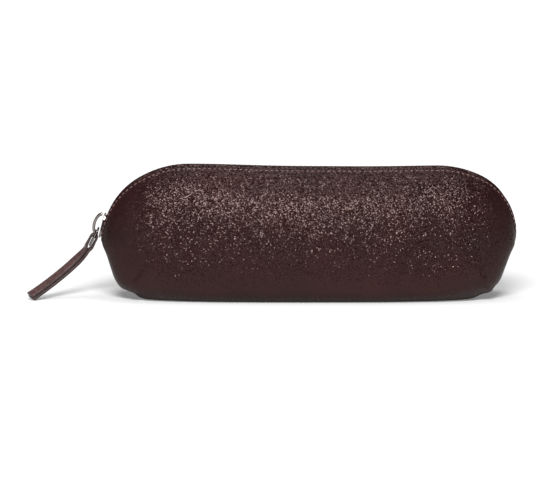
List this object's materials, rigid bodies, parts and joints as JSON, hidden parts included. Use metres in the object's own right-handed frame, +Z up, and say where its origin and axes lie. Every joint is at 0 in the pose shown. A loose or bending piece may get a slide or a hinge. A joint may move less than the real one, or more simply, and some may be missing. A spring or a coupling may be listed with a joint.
{
  "type": "leather pencil case",
  "caption": "Boxed leather pencil case with a flat base, closed by a zip over its ridge; a metal slider carries a wire link and a folded leather pull.",
  "frame": {"origin": "centre of the flat base, on the surface that the case stands on", "axes": "+X along the case towards the end where the zip is sewn shut, -Y towards the front skin, +Z up towards the zip"},
  "size_m": [0.2485, 0.0542, 0.0665],
  "materials": {
    "leather": "fine pebbled grain, satin, dark oxblood brown",
    "pull_leather": "smooth satin strip leather, dark oxblood brown",
    "lining": "matt woven cloth",
    "zip_tape": "matt woven tape",
    "zip_coil": "satin moulded coil",
    "nickel": "bright nickel plate over cast zinc"
  },
  "bodies": {
    "case_base": {"front_leather_lower": "leather", "back_leather_lower": "leather", "lining_lower": "lining", "front_leather_fold": "leather", "back_leather_fold": "leather"},
    "front_side": {"front_leather_upper": "leather", "front_lining_upper": "lining", "front_zip_tape": "zip_tape", "front_zip_coil": "zip_coil", "front_top_stop": "nickel"},
    "back_side": {"back_leather_upper": "leather", "back_lining_upper": "lining", "back_zip_tape": "zip_tape", "back_zip_coil": "zip_coil", "back_top_stop": "nickel", "bottom_stop": "nickel"},
    "slider": {"slider_body": "nickel", "slider_crown": "nickel"},
    "link": {"pull_link": "nickel"},
    "pull": {"pull_strap": "pull_leather"}
  },
  "joints": [
    {"name": "front_mouth", "type": "hinge", "parent": "case_base", "child": "front_side", "pos_m": [0, 0, 0.027], "axis": [1, 0, 0], "range_deg": [0, 15], "deforming": ["front_leather_fold", "front_zip_coil"]},
    {"name": "back_mouth", "type": "hinge", "parent": "case_base", "child": "back_side", "pos_m": [0, 0, 0.027], "axis": [-1, 0, 0], "range_deg": [0, 15], "deforming": ["back_leather_fold", "back_zip_coil"]},
    {"name": "slider_travel", "type": "hinge", "parent": "back_side", "child": "slider", "pos_m": [-0.067, 0, 0.027], "axis": [0, 1, 0], "range_deg": [0, 45], "deforming": ["front_zip_coil", "back_zip_coil"]},
    {"name": "link_swing", "type": "hinge", "parent": "slider", "child": "link", "pos_m": [-0.1068, 0, 0.03437], "axis": [0, 1, 0], "range_deg": [0, 60]},
    {"name": "strap_swing", "type": "hinge", "parent": "link", "child": "pull", "pos_m": [-0.11086, 0, 0.02678], "axis": [0, 1, 0], "range_deg": [-15, 12]}
  ],
  "couplings": [
    {"joint": "front_mouth", "follows": "slider_travel", "ratio": 0.33333},
    {"joint": "back_mouth", "follows": "slider_travel", "ratio": 0.33333}
  ]
}
